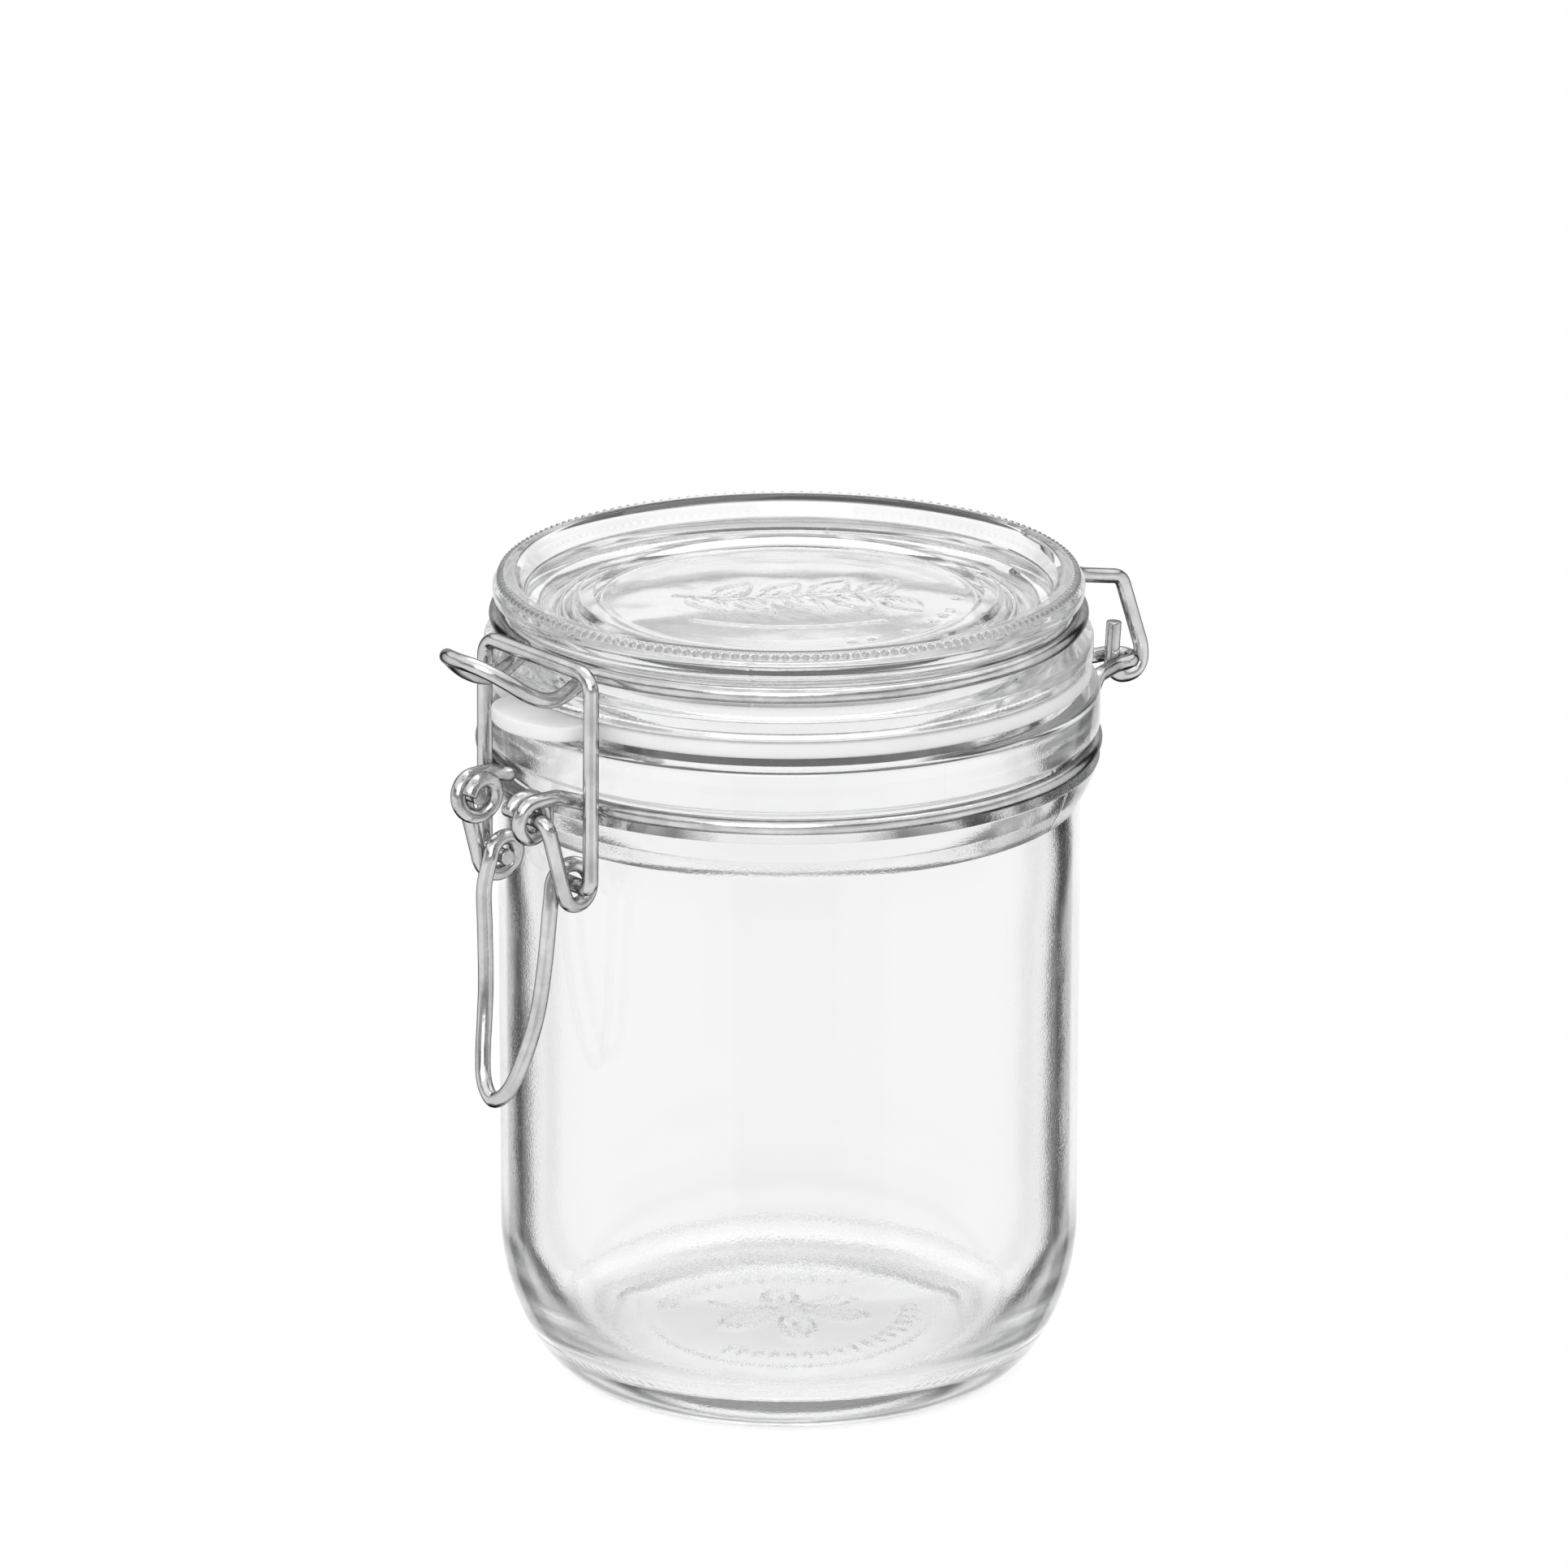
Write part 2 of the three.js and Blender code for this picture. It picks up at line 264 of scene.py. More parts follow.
def jar_ring_count(radius, height):
    """Points on a ring of the jar: most on the knurled ring, fewer towards the axis."""
    if height < 1 and 28.5 < radius < STAND_LIMIT:
        return KNURLS * 8
    if radius < 5:
        return KNURLS
    return KNURLS * 4 if radius > 13 else KNURLS * 2


def gathered(angle, seams, radius, count):
    """Draws the two points on each side of a seam towards it, so that a ring can carry the
    seam's narrow ridge. SEAM_SPREAD gives their distances for each step from the seam."""
    pitch = FULL_TURN / count
    for seam in seams:
        middle = round(seam / pitch) * pitch
        steps = round(angle_gap(angle, middle) / pitch)
        if 1 <= abs(steps) <= 2:
            return middle + steps * SEAM_SPREAD[abs(steps) - 1] / radius
    return angle


def on_seam(angle, seams, count):
    """True for the one point of a ring that carries a seam's ridge."""
    pitch = FULL_TURN / count
    return any(abs(angle_gap(angle, round(seam / pitch) * pitch)) < pitch / 2 for seam in seams)


def rosette(radius, angle):
    """Height of a small embossed rosette: six outlined petals round a ring."""
    turn = angle_gap(angle * PETALS, 0) / PETALS
    along, across = radius * math.cos(turn) - PETAL_MIDDLE, radius * math.sin(turn)
    outline = math.hypot(along / PETAL_SIZE[0], across / PETAL_SIZE[1]) - 1
    petal = hump(outline * PETAL_SIZE[1], 0.75)
    rib = hump(across, 0.5) * hump(along, PETAL_SIZE[0] - 1)
    return max(petal, rib, hump(radius - 2.2, 0.8))


def base_relief(radius, angle):
    """Height of the pattern pressed into the base: a rosette inside a broken ring of short bars."""
    share = angle / FULL_TURN % 0.5
    bar = 0
    if BAR_SHARES[0] < share < BAR_SHARES[1]:
        bar = hump(angle_gap(angle * BARS, 0) / BARS * radius, 1.0) * hump(radius - BAR_RADIUS, 1.9)
    border = 0.6 * hump(radius - BORDER_RADIUS, 0.7)
    return max(rosette(radius, angle), bar, border)


def jar_shape(radius, height, angle):
    """The pressed base, the knurled standing ring, the ridge on the floor, waves in the inner
    wall and floor, and mould seams round the neck."""
    if height < 1 and radius < BASE_RELIEF_RADIUS:
        return radius, height + BASE_RELIEF * base_relief(radius, angle), angle
    if height < 1 and radius < STAND_LIMIT:
        low, high = KNURL_BAND
        across = hump(radius - (low + high) / 2, (high - low) / 2)
        groove = 0.5 + 0.5 * math.cos(KNURLS * angle)
        return radius, height + KNURL_DEPTH * across * groove ** 2, angle
    if on_floor_ring(radius, height):
        rise = FLOOR_RING_RISE * hump(radius - FLOOR_RING_RADIUS, 0.6)
        return radius, height + rise, angle
    if radius < INNER_RADIUS + 0.1 and FLOOR_HEIGHT - 0.5 < height < jar_top - 1:
        on_wall = radius > 30
        fade = hump(height - 50, 48) if on_wall else 0.6
        place = Vector((2 * math.sin(angle), 2 * math.cos(angle), height / 60))
        wave = WALL_WAVE * fade * noise.noise(place)
        if on_wall:
            return radius + wave, height, angle
        return radius, height + wave * min(1, radius / 10), angle
    if radius > BODY_RADIUS + 0.1 and height > 93:
        count = KNURLS * 4
        seams = FLANGE_SEAMS if height > 105.5 else JAR_SEAMS
        rise = JAR_SEAM_RISE if on_seam(angle, seams, count) else 0
        return radius + rise, height, gathered(angle, seams, radius, count)
    return radius, height, angle


def make_jar():
    """The glass jar, with its base, wall, neck and mouth as one closed solid."""
    return turned("jar_glass", jar_outline(), jar_ring_count, jar_shape)


# ---------------------------------------------------------------- glass lid

BEADS = 184
BEAD_RADIUS = 45.2
BEAD_HEIGHT = 129.8
BEAD_REACH = 0.8
BEAD_STEP = 0.2
BEAD_RISE = 0.52
BEAD_LEAN = (0.55, 0.83)
LID_SEAMS = [VIEW_AZIMUTH - math.radians(7), VIEW_AZIMUTH + math.radians(173)]
LID_SEAM_RISE = 0.12
PANEL_RADIUS = 28.4
PANEL_HEIGHT = 126.1
PANEL_STEPS = 64
PANEL_RELIEF = 0.2
PANEL_WAVE = 0.05
UNDERSIDE_WAVE = 0.1
CHANNEL_WAVE = 0.03
STEM_REACH = 18
LEAF_PITCH = 3.8
LEAF_LEAN = 1.0
LEAF_SIZE = (9.5, 2.2)
BOW_REACH = 15
DOT_RADIUS = 26.3
DOT_PITCH = math.radians(7.33)
DOT_PLACES = [3, 4, 6, 8, 9, 10, 12]


def lid_outline():
    """The lid's outline from the middle of its underside, out round the plug and over the top."""
    under = [
        [0, 121.6, 0],
        [33, 121.3, 3],
        [36.2, 119.5, 2],
        [37.8, 116, 1.5],
        [38.4, lid_bottom, 0.6],
        [39.8, lid_bottom, 0.7],
        [40.3, lid_bottom + 1.8, 0.4],
        [lid_flange, lid_bottom + 1.8, 0.6],
        [lid_flange, lid_bottom + 5.2, 0.8],
        [45.6, 121.9, 1],
        [44.3, 122.6, 0.6],
        [44.3, 125.4, 1.2],
        [46.4, 127, 0.9],
        [46.5, 128.6, 0.7],
    ]
    top = [
        [45.9, 129.5, 0.5],
        [44.6, lid_top, 0.5],
        [43.1, lid_top, 0.8],
        [42.1, 129.5, 0.6],
        [41.2, 127.3, 1.2],
        [39, 126, 2],
        [35.6, 125.5, 1.6],
        [33.7, 125.9, 0.6],
        [32.9, 126.9, 0.5],
        [30.6, 126.9, 0.5],
        [29.4, 126, 0.6],
        [PANEL_RADIUS, PANEL_HEIGHT, 0],
    ]
    shares = [1 - i / PANEL_STEPS for i in range(1, PANEL_STEPS + 1)]
    panel = [[PANEL_RADIUS * share, PANEL_HEIGHT, 0] for share in shares]
    return refined(rounded(under + top + panel, longest=2.6), on_bead_row, BEAD_STEP)


def on_bead_row(radius, height):
    """True where the row of beads runs round the rim."""
    return math.hypot(radius - BEAD_RADIUS, height - BEAD_HEIGHT) < BEAD_REACH + 0.3


def lid_ring_count(radius, height):
    """Points on a ring of the lid: most on the row of beads, fewer towards the axis."""
    if on_bead_row(radius, height):
        return BEADS * 8
    if radius < 7:
        return BEADS // 2
    return BEADS * 2 if radius > 14 else BEADS


def leaf(x, y, root_x, root_y, lean):
    """Height of one embossed leaf with its root at (root_x, root_y): a raised edge round a
    lower blade, and a midrib that fades towards the tip."""
    length, width = LEAF_SIZE
    cos, sin = math.cos(lean), math.sin(lean)
    along = ((x - root_x) * cos + (y - root_y) * sin) / length
    across = (y - root_y) * cos - (x - root_x) * sin
    if not 0 < along < 1:
        return 0.0
    half = width * math.sin(math.pi * along ** 0.8) ** 0.9 + 0.01
    edge = hump(abs(across) - half, 0.55)
    rib = hump(across, 0.45) * (1 - along)
    return max(edge, rib, 0.35 if abs(across) < half else 0)


def sprig(x, y):
    """Height of the lid's embossed sprig: a waving stem with leaves on both sides of it, over a
    bowed line."""
    height = hump(y - stem(x), 0.7) if abs(x) < STEM_REACH else 0.0
    for i in range(-4, 5):
        side = 1 if i % 2 else -1
        root = i * LEAF_PITCH
        height = max(height, leaf(x, y, root, stem(root), side * LEAF_LEAN))
    bow = hump(y + 17 - x * x / 60, 0.8) if abs(x) < BOW_REACH else 0.0
    return max(height, bow)


def stem(x):
    """How far the sprig's stem waves from its middle line at x."""
    return 1.2 * math.sin(x / 5)


def lid_relief(radius, angle):
    """Height of the pattern on the lid's panel, upright as seen from the main view."""
    turn = angle - VIEW_AZIMUTH
    x, y = radius * math.sin(turn), -radius * math.cos(turn)
    height = sprig(x, y)
    for place in DOT_PLACES:
        gap = math.hypot(radius - DOT_RADIUS, DOT_RADIUS * angle_gap(turn, place * DOT_PITCH))
        height = max(height, hump(gap, 0.75))
    return height


def lid_shape(radius, height, angle):
    """The row of beads on the rim, the pressed panel, the wavy underside and channel, and two
    mould seams on the outside."""
    if on_bead_row(radius, height):
        across = math.hypot(radius - BEAD_RADIUS, height - BEAD_HEIGHT)
        along = angle_gap(angle * BEADS, 0) / BEADS * radius
        rise = BEAD_RISE * hump(math.hypot(across, along), BEAD_REACH)
        return radius + BEAD_LEAN[0] * rise, height + BEAD_LEAN[1] * rise, angle
    x, y = radius * math.sin(angle), -radius * math.cos(angle)
    if radius < PANEL_RADIUS and height > 125.8:
        swell = PANEL_WAVE * noise.noise(Vector((x / 14, y / 14, 3)))
        return radius, height + swell + PANEL_RELIEF * lid_relief(radius, angle), angle
    if radius < 37 and height < 122:
        wave = UNDERSIDE_WAVE * noise.noise(Vector((x / 15, y / 15, 0)))
        return radius, height + wave, angle
    if 29 < radius < 42.5 and height > 125:
        return radius, height + CHANNEL_WAVE * noise.noise(Vector((x / 9, y / 9, 5))), angle
    if radius > 44 and height < 129:
        rise = LID_SEAM_RISE if on_seam(angle, LID_SEAMS, BEADS * 2) else 0
        return radius + rise, height, gathered(angle, LID_SEAMS, radius, BEADS * 2)
    return radius, height, angle


def make_lid():
    """The glass lid as one closed solid."""
    return turned("lid_glass", lid_outline(), lid_ring_count, lid_shape)


# ---------------------------------------------------------------- rubber gasket

GASKET_INNER = 40.8
GASKET_EDGE = 0.5
GASKET_STEPS = 300
TAB_HALF_WIDTH = 9.8
TAB_SHOULDER = 48.9
TAB_STEPS = 60


def gasket_outline():
    """Outer edge of the gasket in millimetres: a circle with a rounded pull tab at the front
    (-Y). TAB_SHOULDER is the distance from the axis at which the tab's round tip begins."""
    outer = gasket_high.x
    reach = -gasket_low.y
    root = math.asin((TAB_HALF_WIDTH + 1.2) / outer)
    points = []
    for i in range(GASKET_STEPS + 1):
        angle = root + (FULL_TURN - 2 * root) * i / GASKET_STEPS
        points.append(Vector((outer * math.sin(angle), -outer * math.cos(angle))))
    start, end = points[-1], Vector((-TAB_HALF_WIDTH, -TAB_SHOULDER))
    corner = Vector((-TAB_HALF_WIDTH, 1 - outer))
    left = [bend(start, corner, end, i / 8) for i in range(1, 9)]
    tip = []
    for i in range(1, TAB_STEPS):
        angle = math.pi * i / TAB_STEPS
        x = -TAB_HALF_WIDTH * math.cos(angle)
        tip.append(Vector((x, -TAB_SHOULDER - (reach - TAB_SHOULDER) * math.sin(angle))))
    right = [Vector((-point.x, point.y)) for point in reversed(left)]
    return points + left + tip + right


def bend(start, corner, end, share):
    """A point on the curve that leaves start towards corner and ends at end."""
    return start.lerp(corner, share).lerp(corner.lerp(end, share), share)


def make_gasket():
    """Flat ring with round edges. Its section runs up the outer edge and down the inner one."""
    low, high = gasket_low.z, gasket_high.z
    quarter = [math.pi / 2 * i / 4 for i in range(5)]
    rounding = [
        (GASKET_EDGE * (1 - math.sin(turn)), GASKET_EDGE * (1 - math.cos(turn))) for turn in quarter
    ]
    upward = [(inset, low + rise) for inset, rise in rounding]
    upward += [(inset, high - rise) for inset, rise in reversed(rounding)]
    edge = gasket_outline()
    mesh = bmesh.new()
    rings = []
    for is_outer, section in ((True, upward), (False, list(reversed(upward)))):
        for inset, height in section:
            ring = []
            for i, point in enumerate(edge):
                along = (edge[(i + 1) % len(edge)] - edge[i - 1]).normalized()
                outward = Vector((along.y, -along.x))
                spoke = point.normalized()
                place = point - outward * inset if is_outer else spoke * (GASKET_INNER + inset)
                ring.append(mesh.verts.new((place.x * MM, place.y * MM, height * MM)))
            rings.append(ring)
    for ring, other in zip(rings, rings[1:] + rings[:1]):
        stitch(mesh, ring, other)
    return finished("gasket_rubber", mesh)


# ---------------------------------------------------------------- wires

WIRE_RADIUS = 1.22 * MM
WIRE_SIDES = 24
WIRE_STEP = 0.45 * MM
CUT_EDGE = 0.14 * MM
CAD_WIRE_SIDES = 8
CUT_ANGLE = math.radians(75)  # the edges of a cut end are sharper than this
LONG_RUN = 2.5  # a stretch this many times as long as the next one is a straight run


def centre_line(node):
    """The middle of each ring of points of a CAD wire, from one cut end to the other."""
    mesh = bmesh.new()
    mesh.from_mesh(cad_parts[node].data)
    bmesh.ops.remove_doubles(mesh, verts=mesh.verts, dist=0.01 * MM)
    mesh.verts.index_update()
    sharp = [edge for edge in mesh.edges if edge.calc_face_angle() > CUT_ANGLE]
    rims = {vert for edge in sharp for vert in edge.verts}
    first = min(rims, key=lambda vert: vert.index)
    ring = set(sorted(rims, key=lambda vert: (vert.co - first.co).length)[:CAD_WIRE_SIDES])
    seen, line = set(), []
    while ring:
        seen |= ring
        in_order = sorted(ring, key=lambda vert: vert.index)
        line.append(sum((vert.co for vert in in_order), Vector()) / len(ring))
        ring = {edge.other_vert(vert) for vert in ring for edge in vert.link_edges} - seen
    mesh.free()
    return line


def eased(line):
    """The line with a point added near each end of a long straight, so that it stays straight."""
    steps = [end - start for start, end in zip(line, line[1:])]
    lengths = [step.length for step in steps]
    points = []
    for i, (start, step, length) in enumerate(zip(line, steps, lengths)):
        points.append(start)
        if i > 0 and length > LONG_RUN * lengths[i - 1]:
            points.append(start + step * (lengths[i - 1] / length))
        if i + 1 < len(steps) and length > LONG_RUN * lengths[i + 1]:
            points.append(start + step * (1 - lengths[i + 1] / length))
    return [*points, line[-1]]


def smoothed(line, step):
    """A smooth curve (centripetal Catmull-Rom) through a line's points, in steps of about step."""
    line = eased(line)
    line = [2 * line[0] - line[1], *line, 2 * line[-1] - line[-2]]
    fine = []
    for a, b, c, d in zip(line, line[1:], line[2:], line[3:]):
        times = [0.0]
        for start, end in ((a, b), (b, c), (c, d)):
            times.append(times[-1] + math.sqrt((end - start).length))
        t0, t1, t2, t3 = times
        pieces = max(2, round((c - b).length / step))
        for i in range(pieces):
            t = t1 + (t2 - t1) * i / pieces
            ab = a.lerp(b, (t - t0) / (t1 - t0))
            bc = b.lerp(c, (t - t1) / (t2 - t1))
            cd = c.lerp(d, (t - t2) / (t3 - t2))
            abc = ab.lerp(bc, (t - t0) / (t2 - t0))
            bcd = bc.lerp(cd, (t - t1) / (t3 - t1))
            fine.append(abc.lerp(bcd, (t - t1) / (t2 - t1)))
    fine.append(line[-2])
    return fine


def make_wire(name, node):
    """A round wire along a CAD wire's centre line, with a slightly bevelled cut at each end.
    Its UV map runs along the wire (u, in metres) and round it (v, 0 to 1)."""
    line = smoothed(centre_line(node), WIRE_STEP)
    tangents = [(b - a).normalized() for a, b in zip([line[0], *line], [*line[1:], line[-1]])]
    across = tangents[0].orthogonal().normalized()
    mesh = bmesh.new()
    rings, lengths = [], []
    travelled = 0.0
    for i, (point, tangent) in enumerate(zip(line, tangents)):
        across = (across - tangent * across.dot(tangent)).normalized()
        up = tangent.cross(across)
        travelled += (point - line[i - 1]).length if i else 0
        sizes = [(0, 1)]
        if i == 0:
            sizes = [(0, 1 - CUT_EDGE / WIRE_RADIUS), (CUT_EDGE, 1)]
        if i == len(line) - 1:
            sizes = [(-CUT_EDGE, 1), (0, 1 - CUT_EDGE / WIRE_RADIUS)]
        for shift, size in sizes:
            ring = []
            for k in range(WIRE_SIDES):
                angle = FULL_TURN * k / WIRE_SIDES
                spoke = across * math.cos(angle) + up * math.sin(angle)
                ring.append(mesh.verts.new(point + tangent * shift + spoke * size * WIRE_RADIUS))
            rings.append(ring)
            lengths.append(travelled + shift)
    uv = mesh.loops.layers.uv.new("along")
    for (ring, start), (other, end) in zip(zip(rings, lengths), zip(rings[1:], lengths[1:])):
        for k in range(WIRE_SIDES):
            after = (k + 1) % WIRE_SIDES
            face = mesh.faces.new((ring[k], ring[after], other[after], other[k]))
            places = ((start, k), (start, k + 1), (end, k + 1), (end, k))
            for loop, (u, v) in zip(face.loops, places):
                loop[uv].uv = (u, v / WIRE_SIDES)
    for end in (rings[0], rings[-1]):
        mesh.faces.new(end)
    piece = finished(name, mesh)
    for polygon in piece.data.polygons:
        polygon.use_smooth = len(polygon.vertices) == 4
    return piece


# ---------------------------------------------------------------- materials

GRAIN_SCALE = 2600


class Nodes:
    """Adds nodes to a node tree and links them."""

    def __init__(self, tree):
        self.tree = tree

    def add(self, kind, **values):
        """A new node. Each value goes to the property or the input that has its name."""
        node = self.tree.nodes.new(kind)
        for key, value in values.items():
            if hasattr(node, key):
                setattr(node, key, value)
            else:
                node.inputs[key.replace("_", " ")].default_value = value
        return node

    def link(self, source, target):
        self.tree.links.new(source, target)

    def ranged(self, value, low, high, start=0.3, end=0.7, kind="LINEAR"):
        """The value mapped from the range start to end onto the range low to high."""
        node = self.add("ShaderNodeMapRange", interpolation_type=kind)
        node.inputs["From Min"].default_value = start
        node.inputs["From Max"].default_value = end
        node.inputs["To Min"].default_value = low
        node.inputs["To Max"].default_value = high
        self.link(value, node.inputs["Value"])
        return node.outputs["Result"]

    def soft_step(self, value, start, end, low, high):
        """A smooth step: low where the value is under start, high where it is over end."""
        return self.ranged(value, low, high, start, end, "SMOOTHSTEP")

    def maths(self, operation, first, second=0.0):
        """The result of an operation on outputs of nodes or plain numbers."""
        node = self.add("ShaderNodeMath", operation=operation)
        for socket, value in zip(node.inputs, (first, second)):
            if isinstance(value, (int, float)):
                socket.default_value = value
            else:
                self.link(value, socket)
        return node.outputs[0]

    def dimmed(self, light, dark):
        """The light that is left when a share of it, dark, is taken away."""
        return self.maths("MULTIPLY", light, self.maths("SUBTRACT", 1.0, dark))


class Shader(Nodes):
    """The nodes of a new material, round its Principled shader."""

    def __init__(self, name):
        self.material = bpy.data.materials.new(name)
        self.material.use_nodes = True
        super().__init__(self.material.node_tree)
        self.bsdf = self.tree.nodes["Principled BSDF"]
        self.output = self.tree.nodes["Material Output"]

    def set(self, **values):
        """Sets uniform values of the Principled shader."""
        for key, value in values.items():
            self.bsdf.inputs[key.replace("_", " ")].default_value = value

    def place(self, output, stretch=(1, 1, 1)):
        """Texture coordinates scaled by stretch."""
        coordinates = self.add("ShaderNodeTexCoord")
        mapping = self.add("ShaderNodeMapping", Scale=stretch)
        self.link(coordinates.outputs[output], mapping.inputs["Vector"])
        return mapping.outputs["Vector"]

    def noise(self, vector, scale, detail=3.0, rough=0.5):
        """Noise that lies mostly between 0.3 and 0.7, finer where scale is larger."""
        node = self.add("ShaderNodeTexNoise", Scale=scale, Detail=detail, Roughness=rough)
        self.link(vector, node.inputs["Vector"])
        return node.outputs["Fac"]

    def colour(self, share, first, second):
        """Lets the base colour run from first to second with a share from 0 to 1."""
        mix = self.add("ShaderNodeMix", data_type="RGBA")
        mix.inputs["A"].default_value = first
        mix.inputs["B"].default_value = second
        self.link(share, mix.inputs["Factor"])
        self.link(mix.outputs["Result"], self.bsdf.inputs["Base Color"])

    def bump(self, heights):
        """Adds (height output, distance in metres) pairs to the surface as one chain of bumps."""
        normal = None
        for height, distance in heights:
            node = self.add("ShaderNodeBump", Strength=1.0, Distance=distance)
            self.link(height, node.inputs["Height"])
            if normal is not None:
                self.link(normal, node.inputs["Normal"])
            normal = node.outputs["Normal"]
        self.link(normal, self.bsdf.inputs["Normal"])


def glass_material(name, wave, pits):
    """Clear pressed glass: slow waves from the mould and fine pits, both with heights in metres,
    smudges that blur it a little, and a faint grey tint in its depth."""
    glass = Shader(name)
    glass.set(Base_Color=(0.965, 0.968, 0.966, 1), Transmission_Weight=1.0, IOR=1.5)
    place = glass.place("Object")
    waves = glass.noise(place, scale=55, detail=2.0)
    grain = glass.noise(place, scale=GRAIN_SCALE, detail=2.0)
    smudge = glass.noise(place, scale=24, detail=4.0, rough=0.6)
    blur = glass.ranged(smudge, low=0.0, high=0.035, start=0.45, end=0.8)
    glass.link(blur, glass.bsdf.inputs["Roughness"])
    glass.bump([(waves, wave), (grain, pits)])
    depth = glass.add("ShaderNodeVolumeAbsorption", Color=(0.7, 0.72, 0.71, 1), Density=4.0)
    glass.link(depth.outputs["Volume"], glass.output.inputs["Volume"])
    return glass.material


def steel_material():
    """Bright drawn steel wire: die lines along its length, with patches of duller oxide."""
    steel = Shader("drawn_steel")
    # The dark specular tint dims the wire's reflection towards its edges: painted shade along the
    # rims of every wire.
    steel.set(Metallic=1.0, Specular_Tint=(0.3, 0.3, 0.3, 1))
    along = steel.place("UV", (25, 5, 1))
    lines = steel.noise(along, scale=6, detail=4.0, rough=0.6)
    patches = steel.noise(steel.place("Object"), scale=160, detail=4.0, rough=0.6)
    steel.colour(steel.ranged(patches, 0, 1), (0.5, 0.5, 0.505, 1), (0.74, 0.74, 0.735, 1))
    steel.link(steel.ranged(lines, low=0.08, high=0.18), steel.bsdf.inputs["Roughness"])
    steel.bump([(lines, 0.00003), (patches, 0.00006)])
    return steel.material


def rubber_material():
    """Milky silicone rubber with a soft skin, a slightly cloudy colour and a faint mould grain."""
    rubber = Shader("milky_rubber")
    rubber.set(Roughness=0.42, Subsurface_Weight=0.45, Subsurface_Scale=0.004)
    rubber.set(Subsurface_Radius=(1, 0.95, 0.9))
    place = rubber.place("Object")
    cloud = rubber.noise(place, scale=70, detail=3.0)
    grain = rubber.noise(place, scale=GRAIN_SCALE, detail=2.0)
    rubber.colour(rubber.ranged(cloud, 0, 1), (0.84, 0.84, 0.835, 1), (0.9, 0.9, 0.895, 1))
    rubber.bump([(grain, 0.00002)])
    return rubber.material


# ---------------------------------------------------------------- studio

LOOK_AT = Vector((0, 0, 95.25 * MM))
CAMERA_DISTANCE = 1.6
LENS = 232.9
SENSOR = 36.0
SHIFT_X = -0.0031

FLOOR_FADE = (0.0345, 0.052)  # distances from the axis where the floor begins and ends to fade
FLOOR_MARGIN = 1.02
FLOOR_DROP = 0.02 * MM
FLOOR_GLOW = 0.68
WHITE = (1.0, 1.0, 1.0, 1)

# Soft steps in the studio's light: [start, end, value before start, value past end]. The first
# three go by the cosine of the bearing from straight behind the jar, seen from the main view.
BACK_PANEL = [0.8, 0.995, 0.78, 1.0]
SIDE_PANELS = [0.1, 0.6, 1.0, 0.78]
FRONT_HALF = [-0.2, 0.2, 1.0, 0.0]
# These go by the height of a direction, from -1 straight down to 1 straight up.
DIM_FRONT_WALL = [-0.06, 0.08, 0.0, 0.55]
LIT_TABLE = [-0.44, -0.37, 1.0, 0.0]
DARK_BACK_EDGE = [-0.65, -0.55, 0.96, 0.0]
PANEL_TOPS = [0.31, 0.36, 1.0, 0.2]
CEILING = [0.42, 0.52, 0.0, 1.0]
CEILING_LIGHT = 1.1

# Darker gaps between the panels: [bearing from straight behind the jar, half width, soft edge,
# light left in it, seen only after a reflection]. The angles are in degrees, and a bearing is
# positive to the right in the main view.
GAPS = [
    [-42, 6, 3, 0.72, False],
    [41.5, 6, 3, 0.72, False],
    [171, 31, 2, 0.74, False],
    [-38, 8.5, 2.5, 0.03, True],
    [37.5, 8.5, 2.5, 0.03, True],
]


def make_camera():
    """The camera at the photo's angle."""
    data = bpy.data.cameras.new("camera")
    data.lens, data.sensor_width, data.shift_x = LENS, SENSOR, SHIFT_X
    level = math.cos(VIEW_ELEVATION)
    x, y = math.sin(VIEW_AZIMUTH) * level, -math.cos(VIEW_AZIMUTH) * level
    back = Vector((x, y, math.sin(VIEW_ELEVATION)))
    camera = bpy.data.objects.new("camera", data)
    camera.location = LOOK_AT + back * CAMERA_DISTANCE
    camera.rotation_mode = "QUATERNION"
    camera.rotation_quaternion = (-back).to_track_quat("-Z", "Y")
    bpy.context.scene.collection.objects.link(camera)
    bpy.context.scene.camera = camera


def floor_material():
    """White table lit softly from below, which fades into the background away from the jar."""
    floor = Shader("white_table")
    floor.set(Base_Color=(0.6, 0.6, 0.6, 1), Roughness=0.9, Specular_IOR_Level=0.1)
    floor.set(Emission_Color=WHITE, Emission_Strength=FLOOR_GLOW)
    distance = floor.add("ShaderNodeVectorMath", operation="LENGTH")
    floor.link(floor.place("Object", (1, 1, 0)), distance.inputs[0])
    clear = floor.add("ShaderNodeBsdfTransparent")
    mix = floor.add("ShaderNodeMixShader")
    fade = floor.ranged(distance.outputs["Value"], 0, 1, *FLOOR_FADE)
    floor.link(fade, mix.inputs["Fac"])
    floor.link(floor.bsdf.outputs["BSDF"], mix.inputs[1])
    floor.link(clear.outputs["BSDF"], mix.inputs[2])
    floor.link(mix.outputs["Shader"], floor.output.inputs["Surface"])
    return floor.material


def make_floor():
    """A small round piece of table just under the jar."""
    mesh = bmesh.new()
    radius = FLOOR_FADE[1] * FLOOR_MARGIN
    bmesh.ops.create_circle(mesh, cap_ends=True, segments=96, radius=radius)
    bmesh.ops.translate(mesh, verts=mesh.verts, vec=(0, 0, -FLOOR_DROP))
    floor = finished("floor", mesh)
    floor.data.materials.append(floor_material())


